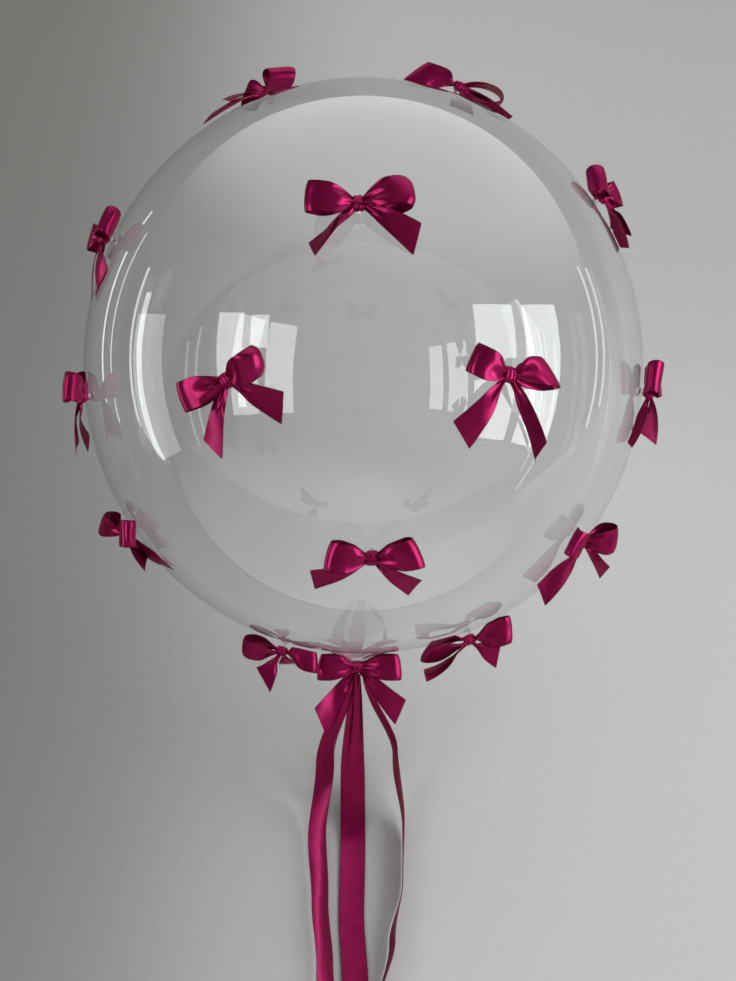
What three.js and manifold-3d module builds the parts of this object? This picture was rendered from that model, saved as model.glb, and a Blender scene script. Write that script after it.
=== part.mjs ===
// A clear bubble balloon dressed with small satin ribbon bows, lying on its back.
// Millimetres, +Z up. The origin is the middle of the small flat spot that the film rests on.
// In the balloon's own frame x runs to its right, y to its top and z to its decorated front.
import * as THREE from "three";
import { mergeVertices } from "three/addons/utils/BufferGeometryUtils.js";
import Module from "manifold-3d";

const wasm = await Module();
wasm.setup();

// The film
const balloonWidth = 550;
const balloonHeight = 564;
const restSpotRadius = 40;
const restPitch = 30; // degrees that the balloon's long axis rises from its neck
const neckSide = -6; // how far the neck stands to the right of the balloon's axis
const shoulderRadius = 34; // where the film starts to gather into the neck
const neckRadius = 7;
const neckDrop = 9; // from the film's round end down to the tie
const stemRadius = 3.5;
const stemLength = 10;
const funnelRadius = 15.3; // the neck's width between its shoulder and its tie
const funnelHeight = 0.8; // where that is, as a share of the drop from the film's end to the tie
const tieHeight = 0.35;
const filmRings = 17;
const filmSides = 36;
const neckSides = 20;

// The ribbon and what it is tied to
const ribbonWidth = 25.4;
const ribbonThickness = 1;
const pinchWidth = 8;
const knotLength = 11;
const knotHeight = 12.5;
const knotDepth = 9;
const dotRadius = 3.5;
const dotHeight = 4.4;
const dotSides = 8;
const topDotHeight = 8.5; // the upper right bow stands on a taller blob of glue
const clearance = 0.3;
const filmClearance = 0.8;
const layerStep = 0.4; // each strip of a bow passes the film a little further out than the last
const shortestEdge = 0.02; // shorter edges, left where pieces join, are closed up
const rootInset = 3; // where a loop's strands start inside the knot
const strandGap = 1.2; // how far each strand lies from the loop's middle there
const tailBulge = 4;
const loopSteps = 8;
const tailSteps = 5;

// Where a ribbon has opened from the pinch at its knot, as shares of its length
const loopOpenAt = 0.75;
const loopTurnedAt = 0.6;
const tailOpenAt = 0.55;
const tailTurnedAt = 0.6;
const longTailOpenAt = 0.2;
const foldRoundness = 0.6; // how near its fold a loop is widest open
const mostSkew = 0.7; // least sine of the angle between a loop's way and its width

// The long tails, as distances from the neck bow's knot along the floor
const slopeRun = 140;
const tailStart = 1;
const tailBehind = 4; // how far behind the knot's middle they start
const longTailSteps = 16;
const floorLift = 0.4;

const halfWidth = balloonWidth / 2;
const halfHeight = balloonHeight / 2;
const radians = THREE.MathUtils.degToRad;
const pitch = radians(restPitch);

const filmMaterial = new THREE.MeshStandardMaterial({
  color: 0xdfe3e4,
  roughness: 0.05,
  metalness: 0,
  transparent: true,
  opacity: 0.35,
});
const satinMaterial = new THREE.MeshStandardMaterial({ color: 0x8a0f3c, roughness: 0.35, metalness: 0 });
const glueMaterial = new THREE.MeshStandardMaterial({ color: 0xe9ecec, roughness: 0.15, metalness: 0 });

const v3 = (x, y, z) => new THREE.Vector3(x, y, z);

// A closed geometry as a solid that can be joined and cut.
function toSolid(geometry, matrix = new THREE.Matrix4()) {
  const bare = (geometry.index ? geometry.toNonIndexed() : geometry.clone()).applyMatrix4(matrix);
  for (const name of Object.keys(bare.attributes)) {
    if (name !== "position") bare.deleteAttribute(name);
  }
  const merged = mergeVertices(bare, 1e-4);
  return new wasm.Manifold(
    new wasm.Mesh({
      numProp: 3,
      vertProperties: merged.attributes.position.array,
      triVerts: new Uint32Array(merged.index.array),
    }),
  );
}

function toMesh(solid, name, material) {
  const made = solid.simplify(shortestEdge).getMesh();
  const geometry = new THREE.BufferGeometry();
  geometry.setAttribute("position", new THREE.BufferAttribute(made.vertProperties, 3));
  geometry.setIndex(new THREE.BufferAttribute(made.triVerts, 1));
  geometry.computeVertexNormals();
  const mesh = new THREE.Mesh(geometry, material.clone());
  mesh.name = name;
  return mesh;
}

// A level cut through the pitched ellipsoid at a height over its centre: an ellipse's centre and half axes.
function levelCut(height) {
  const c = Math.cos(pitch);
  const s = Math.sin(pitch);
  const a = c * c / halfHeight ** 2 + s * s / halfWidth ** 2;
  const b = height * s * c * (1 / halfHeight ** 2 - 1 / halfWidth ** 2);
  const g = height * height * (s * s / halfHeight ** 2 + c * c / halfWidth ** 2);
  const open = Math.max(1 - g + b * b / a, 0);
  return { middle: -b / a, halfX: halfWidth * Math.sqrt(open), halfY: Math.sqrt(open / a) };
}

// The highest level is where the cut closes, and the flat spot is where it is restSpotRadius wide.
const closedLevel = Math.hypot(halfHeight * Math.sin(pitch), halfWidth * Math.cos(pitch));
const spotLevel = -closedLevel * Math.sqrt(1 - (restSpotRadius / halfWidth) ** 2);
const centre = v3(0, -levelCut(spotLevel).middle, -spotLevel);

// The film as a stack of level ellipses from the flat spot up, closed by a point at each end.
function filmBody() {
  const points = [0, 0, 0];
  const start = Math.acos(-spotLevel / closedLevel);
  for (let i = 0; i < filmRings; i++) {
    const turn = start + (Math.PI - start) * (i / filmRings);
    const level = i === 0 ? spotLevel : -closedLevel * Math.cos(turn);
    const cut = levelCut(level);
    for (let k = 0; k < filmSides; k++) {
      const angle = 2 * Math.PI * k / filmSides;
      const y = centre.y + cut.middle + cut.halfY * Math.sin(angle);
      points.push(cut.halfX * Math.cos(angle), y, centre.z + level);
    }
  }
  points.push(0, centre.y + levelCut(closedLevel).middle, centre.z + closedLevel);
  const last = points.length / 3 - 1;
  const at = (ring, k) => 1 + ring * filmSides + (k % filmSides);
  const faces = [];
  for (let k = 0; k < filmSides; k++) {
    faces.push(0, at(0, k + 1), at(0, k));
    faces.push(last, at(filmRings - 1, k), at(filmRings - 1, k + 1));
    for (let ring = 0; ring < filmRings - 1; ring++) {
      faces.push(at(ring, k), at(ring, k + 1), at(ring + 1, k + 1));
      faces.push(at(ring, k), at(ring + 1, k + 1), at(ring + 1, k));
    }
  }
  const geometry = new THREE.BufferGeometry();
  geometry.setAttribute("position", new THREE.Float32BufferAttribute(points, 3));
  geometry.setIndex(faces);
  return toSolid(geometry);
}

const frontFrame = new THREE.Matrix4()
  .makeTranslation(centre)
  .multiply(new THREE.Matrix4().makeRotationX(pitch));

// The gathered end of the film: a flared cone down to the tie, and a thin stem inside the knot.
const neckTop = -halfHeight * Math.sqrt(1 - (shoulderRadius / halfWidth) ** 2);
const neckBottom = -halfHeight - neckDrop;
const stemBottom = neckBottom - stemLength;
function neckBody() {
  const profile = [
    new THREE.Vector2(0, stemBottom),
    new THREE.Vector2(stemRadius, stemBottom),
    new THREE.Vector2(stemRadius, neckBottom),
    new THREE.Vector2(neckRadius, neckBottom),
    new THREE.Vector2(neckRadius, neckBottom + neckDrop * tieHeight),
    new THREE.Vector2(funnelRadius, neckBottom + neckDrop * funnelHeight),
    new THREE.Vector2(shoulderRadius, neckTop),
    new THREE.Vector2(0, neckTop + neckDrop),
  ];
  const placed = frontFrame.clone().multiply(new THREE.Matrix4().makeTranslation(neckSide, 0, 0));
  return toSolid(new THREE.LatheGeometry(profile, neckSides), placed);
}

// Smooth step from 0 to 1
const ease = (x) => THREE.MathUtils.smoothstep(x, 0, 1);

// Keeps a point of ribbon outside the film, each strip of a bow in a layer of its own.
function offFilm(p, layer) {
  const size = Math.hypot(p.x / halfWidth, p.y / halfHeight, p.z / halfWidth);
  const least = 1 + (filmClearance + layer * layerStep + ribbonThickness / 2) / halfWidth;
  return size < least ? p.multiplyScalar(least / size) : p;
}

// A band of ribbon through rows of [left edge, right edge] points, with its real sides and ends.
function bandSolid(rows) {
  const count = rows.length;
  const faceNormal = (i, side) => {
    const along = rows[Math.min(i + 1, count - 1)][side].clone().sub(rows[Math.max(i - 1, 0)][side]);
    return along.cross(rows[i][1].clone().sub(rows[i][0])).normalize();
  };
  const points = [];
  rows.forEach((row, i) => {
    for (const [side, sign] of [[0, 1], [1, 1], [1, -1], [0, -1]]) {
      const p = row[side].clone().addScaledVector(faceNormal(i, side), sign * ribbonThickness / 2);
      points.push(p.x, p.y, p.z);
    }
  });
  const faces = [0, 1, 2, 0, 2, 3];
  for (let i = 0; i < count - 1; i++) {
    for (let k = 0; k < 4; k++) {
      const a = 4 * i + k;
      const b = 4 * i + (k + 1) % 4;
      // The underside is split the same way as the top, so a twisted band keeps its thickness.
      if (k === 2) faces.push(a, a + 4, b + 4, a, b + 4, b);
      else faces.push(a, a + 4, b, b, a + 4, b + 4);
    }
  }
  const end = 4 * (count - 1);
  faces.push(end, end + 2, end + 1, end, end + 3, end + 2);
  const geometry = new THREE.BufferGeometry();
  geometry.setAttribute("position", new THREE.Float32BufferAttribute(points, 3));
  geometry.setIndex(faces);
  return toSolid(geometry);
}

// Turns one direction into another, keeping both on the same side.
function blend(from, to, share) {
  const start = from.dot(to) < 0 ? from.clone().negate() : from.clone();
  return start.lerp(to, share).normalize();
}

// A loop: out from the knot, round a soft fold at its reach, and back, wide at the fold and pinched at the knot.
function loopRows(bow, { reach, across, gap }, layer) {
  const far = v3(...reach);
  const length = far.length();
  const axis = far.clone().normalize();
  const foldAcross = v3(...across).normalize();
  const out = axis.clone().cross(foldAcross).normalize();
  const rows = [];
  for (let i = 0; i <= loopSteps; i++) {
    const t = i / loopSteps;
    const x = rootInset + (length - rootInset) * (1 - Math.cos(2 * Math.PI * t)) / 2;
    const open = gap * Math.sin(2 * Math.PI * t) * Math.sin(Math.PI * t) ** foldRoundness;
    const y = strandGap * Math.cos(Math.PI * t) + open;
    const side = blend(bow.upright, foldAcross, ease(x / (loopTurnedAt * length)));
    const skew = side.clone().cross(axis).length();
    const wide = pinchWidth + (ribbonWidth - pinchWidth) * ease(x / (loopOpenAt * length));
    const middle = bow.knot.clone().addScaledVector(axis, x).addScaledVector(out, y);
    const half = wide / 2 / Math.max(skew, mostSkew);
    rows.push([-half, half].map((s) => offFilm(middle.clone().addScaledVector(side, s), layer)));
  }
  return rows;
}

// A tail: from the knot to its slanted end, turning from the knot's way to its own.
function tailRows(bow, { reach, across, cut }, layer) {
  const far = v3(...reach);
  const length = far.length();
  const endAcross = v3(...across).normalize();
  const rows = [];
  for (let i = 0; i <= tailSteps; i++) {
    const s = i / tailSteps;
    const side = blend(bow.upright, endAcross, ease(s / tailTurnedAt));
    const wide = pinchWidth + (ribbonWidth - pinchWidth) * ease(s / tailOpenAt);
    const edge = (sign) => {
      const at = s * (1 + sign * cut / 2 / length);
      const p = bow.knot.clone().addScaledVector(far, at);
      p.addScaledVector(bow.outward, tailBulge * Math.sin(Math.PI * s));
      return offFilm(p.addScaledVector(side, sign * wide / 2), layer);
    };
    rows.push([edge(-1), edge(1)]);
  }
  return rows;
}

function knotSolid(bow) {
  const turn = new THREE.Matrix4().makeBasis(bow.along, bow.upright, bow.outward);
  const size = new THREE.Matrix4().makeScale(knotLength / 2, knotHeight / 2, knotDepth / 2);
  const placed = new THREE.Matrix4().makeTranslation(bow.knot).multiply(turn).multiply(size);
  return toSolid(new THREE.SphereGeometry(1, 8, 4), placed);
}

// The knot's own directions: along the bow, up its width and out of the film.
function knotFrame(knot, outward, loops) {
  const along = v3(...loops[1].reach).sub(v3(...loops[0].reach));
  along.addScaledVector(outward, -along.dot(outward)).normalize();
  return { knot, outward, along, upright: outward.clone().cross(along) };
}

// A place on the film: latitude up from the balloon's middle, longitude round from its front.
function filmPlace(latitude, longitude) {
  const la = radians(latitude);
  const lo = radians(longitude);
  const point = v3(
    halfWidth * Math.cos(la) * Math.sin(lo),
    halfHeight * Math.sin(la),
    halfWidth * Math.cos(la) * Math.cos(lo),
  );
  const normal = v3(point.x / halfWidth ** 2, point.y / halfHeight ** 2, point.z / halfWidth ** 2);
  return { point, normal: normal.normalize() };
}

function bowSolid(bow, loops, tails) {
  let solid = knotSolid(bow);
  let layer = 0;
  for (const tail of tails) {
    solid = solid.add(bandSolid(tailRows(bow, tail, layer)));
    layer += 1;
  }
  for (const loop of loops) {
    solid = solid.add(bandSolid(loopRows(bow, loop, layer)));
    layer += 1;
  }
  return solid;
}

// Each bow: its place on the film in degrees, then its two loops and two tails. A reach is the way from
// the knot to the middle of the fold or end, and across is the way the ribbon's width runs there, both as
// right, up and front. A gap is half a loop's opening, and a cut is how much longer one edge of an end is.
const bows = {
  bow_top_front: {
    place: [23, -0.7],
    loops: [
      { reach: [-43, 4, 10.5], across: [0.1, 1, 0], gap: 8.5 },
      { reach: [44, 8, 12], across: [-0.2, 1, 0], gap: 8 },
    ],
    tails: [
      { reach: [-38.5, -38.5, 6], across: [0.26, -0.22, 0.94], cut: 6 },
      { reach: [48, -30, 4], across: [0.53, 0.85, 0.2], cut: -8 },
    ],
  },
  bow_left_front: {
    place: [-6, -23],
    loops: [
      { reach: [-40, -14, -12], across: [-0.29, 0.96, 0], gap: 7 },
      { reach: [24, 17, 26], across: [-0.51, 0.86, 0.1], gap: 10 },
    ],
    tails: [
      { reach: [-15, -56, -20], across: [0.77, -0.2, 0.6], cut: 12 },
      { reach: [46, -23, 6], across: [0.43, 0.86, 0.3], cut: -10 },
    ],
  },
  bow_right_front: {
    place: [-5, 25],
    loops: [
      { reach: [-31, 13, 16], across: [0.42, 0.91, 0.1], gap: 10 },
      { reach: [37, 2, -12], across: [-0.54, 0.84, 0], gap: 8 },
    ],
    tails: [
      { reach: [-39, -50, 2], across: [0.79, -0.62, 0], cut: 9 },
      { reach: [30, -63, -34], across: [0.52, 0.25, 0.82], cut: -12 },
    ],
  },
  bow_bottom_front: {
    place: [-37.5, 2],
    loops: [
      { reach: [-38, 2, 12], across: [0.25, 0.95, 0.1], gap: 9 },
      { reach: [40, 5, 10], across: [-0.41, 0.91, 0.1], gap: 9 },
    ],
    tails: [
      { reach: [-51, -20, -18], across: [0.24, -0.63, -0.74], cut: 3 },
      { reach: [37, -27, -22], across: [0.41, 0.58, 0.7], cut: 1 },
    ],
  },
  bow_top_left: {
    place: [70.5, -86],
    loops: [
      { reach: [-20, 2, -26], across: [0.25, 0.97, 0], gap: 7 },
      { reach: [16, 15, 28], across: [0.95, 0.1, -0.25], gap: 10 },
    ],
    tails: [
      { reach: [-43, -4, -14], across: [0.05, 0.1, 1], cut: 8 },
      { reach: [-59, -29, 12], across: [0.1, -0.2, 0.97], cut: 12 },
    ],
  },
  bow_top_right: {
    place: [70.5, 80],
    loops: [
      { reach: [-45, 13, 8], across: [0.8, 0.57, 0.1], gap: 8 },
      { reach: [43, -14, -6], across: [0.1, 0.3, 0.95], gap: 8 },
    ],
    tails: [
      { reach: [45, -37, 12], across: [0.22, 0.27, 0.94], cut: 7 },
      { reach: [6, -8, -52], across: [0.95, -0.3, 0.1], cut: 8 },
    ],
  },
  bow_upper_right: {
    place: [34, 77.5],
    loops: [
      { reach: [-12, 12, 31], across: [-0.15, 0.97, -0.2], gap: 10 },
      { reach: [17, 7, -24], across: [-0.4, 0.85, 0.3], gap: 8 },
    ],
    tails: [
      { reach: [17, -51, 8], across: [0.28, 0.1, 0.95], cut: 8 },
      { reach: [18, -34, -6], across: [0.35, 0.19, 0.92], cut: 18 },
    ],
  },
  bow_upper_left: {
    place: [23, -66],
    loops: [
      { reach: [-14, 3, -24], across: [0.25, 0.95, 0.1], gap: 8 },
      { reach: [8, 13, 31], across: [0.42, 0.88, -0.2], gap: 9 },
    ],
    tails: [
      { reach: [-15, -53, -10], across: [0.3, 0.1, 0.95], cut: 14 },
      { reach: [-1, -44, 8], across: [0.42, 0, 0.9], cut: -18 },
    ],
  },
  bow_left: {
    place: [-6.5, -66],
    loops: [
      { reach: [-3, 12, -28], across: [-0.3, 0.9, 0.2], gap: 7 },
      { reach: [-10, 8, 31], across: [0.05, 1, 0], gap: 9 },
    ],
    tails: [
      { reach: [-4, -50, 8], across: [0.15, 0, 0.98], cut: 14 },
      { reach: [4, -44, -6], across: [0.3, 0.05, 0.95], cut: -14 },
    ],
  },
  bow_right: {
    place: [-5.5, 71],
    loops: [
      { reach: [0, 14, 31], across: [0.15, 0.98, 0.1], gap: 9 },
      { reach: [10, 15, -24], across: [-0.05, 0.98, 0.1], gap: 8 },
    ],
    tails: [
      { reach: [-24, -47, 12], across: [0.2, -0.1, 0.97], cut: 8 },
      { reach: [-2, -43, -8], across: [0.62, 0.05, 0.78], cut: 16 },
    ],
  },
  bow_lower_left: {
    place: [-33, -70],
    loops: [
      { reach: [-25, 9, -16], across: [0.35, 0.6, 0.7], gap: 7 },
      { reach: [9, -2, 32], across: [0.03, 1, 0], gap: 8 },
    ],
    tails: [
      { reach: [22, -30, 10], across: [-0.2, -0.1, 0.97], cut: 12 },
      { reach: [42, -31, -2], across: [0.2, 0.3, 0.93], cut: 16 },
    ],
  },
  bow_lower_right: {
    place: [-35, 60],
    loops: [
      { reach: [-12, -1, 30], across: [0.49, 0.87, 0], gap: 7 },
      { reach: [32, 3, -6], across: [0.05, 0.9, 0.4], gap: 9 },
    ],
    tails: [
      { reach: [-37, -49, -20], across: [0.6, -0.45, 0.6], cut: 14 },
      { reach: [22, -31, -16], across: [0.37, 0.26, 0.89], cut: -8 },
    ],
  },
  bow_bottom_left: {
    place: [-73, -75.5],
    loops: [
      { reach: [-38, 5, 6], across: [0.15, 0.4, 0.9], gap: 8 },
      { reach: [35, -8, 6], across: [-0.09, 0.99, 0], gap: 7 },
    ],
    tails: [
      { reach: [-18, -28, 4], across: [0.83, -0.55, 0], cut: 13 },
      { reach: [10, -18, -40], across: [0.9, 0.2, 0.3], cut: 8 },
    ],
  },
  bow_bottom_right: {
    place: [-64, 54],
    loops: [
      { reach: [-43, -12, 4], across: [0.35, 0.5, 0.8], gap: 8 },
      { reach: [39, 11, 8], across: [-0.09, 0.99, 0.1], gap: 7 },
    ],
    tails: [
      { reach: [-43, -33, 4], across: [0.18, -0.24, 0.95], cut: 4 },
      { reach: [28, -15, -6], across: [0.43, 0.9, 0.1], cut: -7 },
    ],
  },
};
const tallDotBows = ["bow_top_right"];

const neckBow = {
  loops: [
    { reach: [-39, 0, 6], across: [0.15, 0.99, 0], gap: 7 },
    { reach: [43, 0, 6], across: [-0.12, 0.99, 0], gap: 7 },
  ],
  tails: [
    { reach: [-37, -55, 6], across: [0.79, -0.61, 0.2], cut: 14 },
    { reach: [43, -45, 6], across: [0.73, 0.69, 0.2], cut: -11 },
  ],
};

// A long tail: down a soft slope from the knot and on along the floor. It follows sideways offsets at even
// steps of its run, and its width turns from level (0) to upright (90 degrees).
const longTails = {
  tail_left: { run: 330, sway: [-9, -32, -40, -36, -30, -24], turn: [75, 58, 50, 52, 60, 60], cut: 14 },
  tail_middle: { run: 350, sway: [-1, -5, -5, -6, -2, 2], turn: [30, 12, 0, 0, 0, 0], cut: -16 },
  tail_right: { run: 300, sway: [8, 40, 48, 47, 36, 22], turn: [88, 88, 88, 88, 88, 88], cut: 10 },
};

const knotLift = 1; // how far the neck bow's knot reaches up round the tie
const neckKnot = v3(neckSide, neckBottom - clearance - knotHeight / 2 + knotLift, 0);

function longTailRows({ run, sway, turn, cut }) {
  const start = neckKnot.clone();
  start.z -= tailBehind;
  start.y -= knotHeight / 2 + clearance + tailStart;
  start.applyMatrix4(frontFrame);
  const follow = (values, share) => {
    const last = values.length - 1;
    const i = Math.min(Math.floor(share * last), last - 1);
    return THREE.MathUtils.lerp(values[i], values[i + 1], ease(share * last - i));
  };
  const rows = [];
  for (let i = 0; i <= longTailSteps; i++) {
    const s = i / longTailSteps;
    const wide = pinchWidth + (ribbonWidth - pinchWidth) * ease(s / longTailOpenAt);
    const angle = radians(follow(turn, s));
    const edge = (sign) => {
      const share = s * (1 + sign * cut / 2 / run);
      const fallen = 2 * ease((1 + Math.min(share * run / slopeRun, 1)) / 2) - 1;
      const upright = Math.sin(angle) * wide / 2;
      const floor = upright + floorLift + ribbonThickness / 2;
      const z = THREE.MathUtils.lerp(start.z, floor, fallen) + sign * upright;
      return v3(start.x + follow(sway, share) + sign * Math.cos(angle) * wide / 2, start.y - share * run, z);
    };
    rows.push([edge(-1), edge(1)]);
  }
  return rows;
}

const group = new THREE.Group();
const film = filmBody().add(neckBody());
group.add(toMesh(film, "balloon_film", filmMaterial));

const dressed = new THREE.Group();
dressed.position.copy(centre);
dressed.rotation.x = pitch;
group.add(dressed);

for (const [name, { place, loops, tails }] of Object.entries(bows)) {
  const tall = tallDotBows.includes(name) ? topDotHeight : dotHeight;
  const { point, normal } = filmPlace(...place);
  const knot = point.clone().addScaledVector(normal, 2 * clearance + tall + knotDepth / 2);
  const bow = knotFrame(knot, normal, loops);

  const dot = new THREE.Mesh(new THREE.CylinderGeometry(dotRadius, dotRadius, tall, dotSides), glueMaterial.clone());
  dot.name = name.replace("bow", "glue_dot");
  dot.position.copy(point).addScaledVector(normal, clearance + tall / 2);
  dot.quaternion.setFromUnitVectors(v3(0, 1, 0), normal);
  dot.updateMatrix();
  dressed.add(dot);

  const wideDot = dotRadius + clearance;
  const room = new THREE.CylinderGeometry(wideDot, wideDot, tall + clearance, dotSides);
  const solid = bowSolid(bow, loops, tails).subtract(toSolid(room, dot.matrix));
  dressed.add(toMesh(solid, name, satinMaterial));
}

const tied = knotFrame(neckKnot, v3(0, 0, 1), neckBow.loops);
const boreRadius = stemRadius + clearance;
const bore = new THREE.CylinderGeometry(boreRadius, boreRadius, 2 * stemLength, neckSides);
const boreAt = new THREE.Matrix4().makeTranslation(neckSide, neckBottom - clearance, 0);
const neckSolid = bowSolid(tied, neckBow.loops, neckBow.tails).subtract(toSolid(bore, boreAt));
dressed.add(toMesh(neckSolid, "neck_bow", satinMaterial));

for (const [name, tail] of Object.entries(longTails)) {
  group.add(toMesh(bandSolid(longTailRows(tail)), name, satinMaterial));
}

export default group;
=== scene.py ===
import math
import bpy
import numpy as np
from mathutils import Matrix


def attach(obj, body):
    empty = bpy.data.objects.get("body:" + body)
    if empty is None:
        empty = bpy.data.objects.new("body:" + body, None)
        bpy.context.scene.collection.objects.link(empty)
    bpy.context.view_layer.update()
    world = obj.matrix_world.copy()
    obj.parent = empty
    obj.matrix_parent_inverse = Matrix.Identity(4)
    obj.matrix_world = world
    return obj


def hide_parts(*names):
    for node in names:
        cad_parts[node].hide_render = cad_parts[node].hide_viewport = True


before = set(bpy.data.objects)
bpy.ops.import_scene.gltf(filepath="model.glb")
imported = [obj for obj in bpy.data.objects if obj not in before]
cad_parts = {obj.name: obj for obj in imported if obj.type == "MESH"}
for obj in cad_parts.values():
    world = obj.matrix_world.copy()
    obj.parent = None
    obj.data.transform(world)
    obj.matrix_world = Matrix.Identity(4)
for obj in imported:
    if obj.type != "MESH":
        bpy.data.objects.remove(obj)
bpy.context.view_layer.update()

# The balloon's own frame, in millimetres from its centre: x to its right, y to its top, z to its front.
# It lies on its back with its long axis pitched, so its front looks up at the camera.
lying = {
    "pitch": math.radians(30),
    "centre": np.array([0.0, 6.0, 273.8]),
}


def turnOf(pitch):
    c, s = math.cos(pitch), math.sin(pitch)
    return np.array([[1, 0, 0], [0, c, -s], [0, s, c]])


def toWorld(points):
    # balloon frame in millimetres to world metres
    return (points @ turnOf(lying["pitch"]).T + lying["centre"]) * 0.001


def unit(v):
    return v / np.linalg.norm(v, axis=-1, keepdims=True)


def ease(x):
    # smooth step: 3x^2 - 2x^3 between 0 and 1
    x = np.clip(x, 0, 1)
    return x * x * (3 - 2 * x)


# Camera, made first: straight in front of the balloon's decorated side
view = {"right": 4.5, "up": -120.5, "front": 1423.0, "lens": 52.2, "sensor": 36}


def makeCamera():
    data = bpy.data.cameras.new("photoCamera")
    data.lens = view["lens"]
    data.sensor_width = view["sensor"]
    data.clip_end = 50
    camera = bpy.data.objects.new("photoCamera", data)
    place = toWorld(np.array([[view["right"], view["up"], view["front"]]]))[0]
    turn = Matrix(turnOf(lying["pitch"]).tolist()).to_4x4()
    camera.matrix_world = Matrix.Translation(place.tolist()) @ turn
    bpy.context.scene.collection.objects.link(camera)
    bpy.context.scene.camera = camera


makeCamera()
print("camera ready")


# Mesh helpers. A grid is an array (rows, columns, 3) of points.
creaseAngle = math.radians(55)  # edges that turn more than this stay sharp


def gridFaces(rows, columns, wrap=False):
    # quads between neighbouring rows and columns, turning back to the first column where wrap is set
    r = np.arange(rows - 1)[:, None]
    c = np.arange(columns if wrap else columns - 1)[None, :]
    d = (c + 1) % columns
    a = r * columns
    quads = np.stack([a + c, a + d, a + columns + d, a + columns + c], axis=-1)
    return quads.reshape(-1, 4)


def gridNormals(grid):
    # cross product of the two ways of the grid, each taken between neighbours
    along = np.gradient(grid, axis=0)
    across = np.gradient(grid, axis=1)
    n = np.cross(along, across)
    return n / np.maximum(np.linalg.norm(n, axis=-1, keepdims=True), 1e-9)


def makeMesh(name, parts, material):
    # parts: list of (points, quads, triangles, uv per point), in world metres
    points = np.concatenate([p[0] for p in parts])
    start = np.cumsum([0] + [len(p[0]) for p in parts])
    quads = np.concatenate([p[1] + s for p, s in zip(parts, start)])
    tris = np.concatenate([p[2] + s for p, s in zip(parts, start)])
    corners = np.concatenate([quads.ravel(), tris.ravel()]).astype(np.int32)
    sizes = np.concatenate([np.full(len(quads), 4), np.full(len(tris), 3)])
    starts = np.concatenate([[0], np.cumsum(sizes)[:-1]]).astype(np.int32)
    mesh = bpy.data.meshes.new(name)
    mesh.vertices.add(len(points))
    mesh.vertices.foreach_set("co", points.astype(np.float32).ravel())
    mesh.loops.add(len(corners))
    mesh.loops.foreach_set("vertex_index", corners)
    mesh.polygons.add(len(sizes))
    mesh.polygons.foreach_set("loop_start", starts)
    mesh.update(calc_edges=True)
    uv = np.concatenate([p[3] for p in parts])[corners]
    mesh.uv_layers.new(name="ribbonWay").data.foreach_set("uv", uv.astype(np.float32).ravel())
    mesh.polygons.foreach_set("use_smooth", np.ones(len(sizes), bool))
    mesh.set_sharp_from_angle(angle=creaseAngle)
    mesh.validate()
    mesh.materials.append(material)
    piece = bpy.data.objects.new(name, mesh)
    bpy.context.scene.collection.objects.link(piece)
    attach(piece, "root")
    return piece


def outward(points, quads, tris):
    # turns the faces round where the closed surface's signed volume is negative
    fan = np.concatenate([quads[:, [0, 1, 2]], quads[:, [0, 2, 3]], tris])
    a, b, c = (points[fan[:, k]] for k in range(3))
    if np.einsum("ij,ij->", a - points.mean(0), np.cross(b - a, c - a)) < 0:
        return quads[:, ::-1], tris[:, ::-1]
    return quads, tris


def closedTube(grid, uv):
    # a grid whose columns go round, closed by a pole at each end at the middle of the end ring
    rows, columns = grid.shape[:2]
    poles = np.stack([grid[0].mean(0), grid[-1].mean(0)])
    points = np.concatenate([grid.reshape(-1, 3), poles])
    quads = gridFaces(rows, columns, wrap=True)
    k = np.arange(columns)
    n = (k + 1) % columns
    low, high = rows * columns, rows * columns + 1
    last = (rows - 1) * columns
    tris = np.concatenate([
        np.stack([np.full(columns, low), n, k], axis=-1),
        np.stack([np.full(columns, high), last + k, last + n], axis=-1),
    ])
    quads, tris = outward(points, quads, tris)
    uvs = np.concatenate([uv.reshape(-1, 2), uv[0].mean(0)[None], uv[-1].mean(0)[None]])
    return points, quads, tris, uvs


def thickSheet(grid, uv, thickness):
    # the grid moved half the thickness each way along its normals, joined by a rim
    rows, columns = grid.shape[:2]
    n = gridNormals(grid) * thickness / 2
    points = np.concatenate([(grid + n).reshape(-1, 3), (grid - n).reshape(-1, 3)])
    count = rows * columns
    top = gridFaces(rows, columns)
    index = np.arange(count).reshape(rows, columns)
    rim = np.concatenate([index[0], index[1:, -1], index[-1, -2::-1], index[-2:0:-1, 0]])
    after = np.roll(rim, -1)
    side = np.stack([rim, rim + count, after + count, after], axis=-1)
    quads = np.concatenate([top, top[:, ::-1] + count, side])
    quads, tris = outward(points, quads, np.zeros((0, 3), int))
    return points, quads, tris, np.concatenate([uv.reshape(-1, 2)] * 2)


# Node groups that several materials use
def newGroup(name, inputs, outputs):
    group = bpy.data.node_groups.new(name, "ShaderNodeTree")
    for label, kind, value in inputs:
        made = group.interface.new_socket(label, in_out="INPUT", socket_type=kind)
        if value is not None:
            made.default_value = value
    for label, kind in outputs:
        group.interface.new_socket(label, in_out="OUTPUT", socket_type=kind)
    return group, group.nodes.new("NodeGroupInput"), group.nodes.new("NodeGroupOutput")


def mathNode(tree, kind, a, b=None, c=None):
    node = tree.nodes.new("ShaderNodeMath")
    node.operation = kind
    for socket, value in zip(node.inputs, (a, b, c)):
        if value is None:
            continue
        if isinstance(value, (int, float)):
            socket.default_value = value
        else:
            tree.links.new(value, socket)
    return node.outputs[0]


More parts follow.
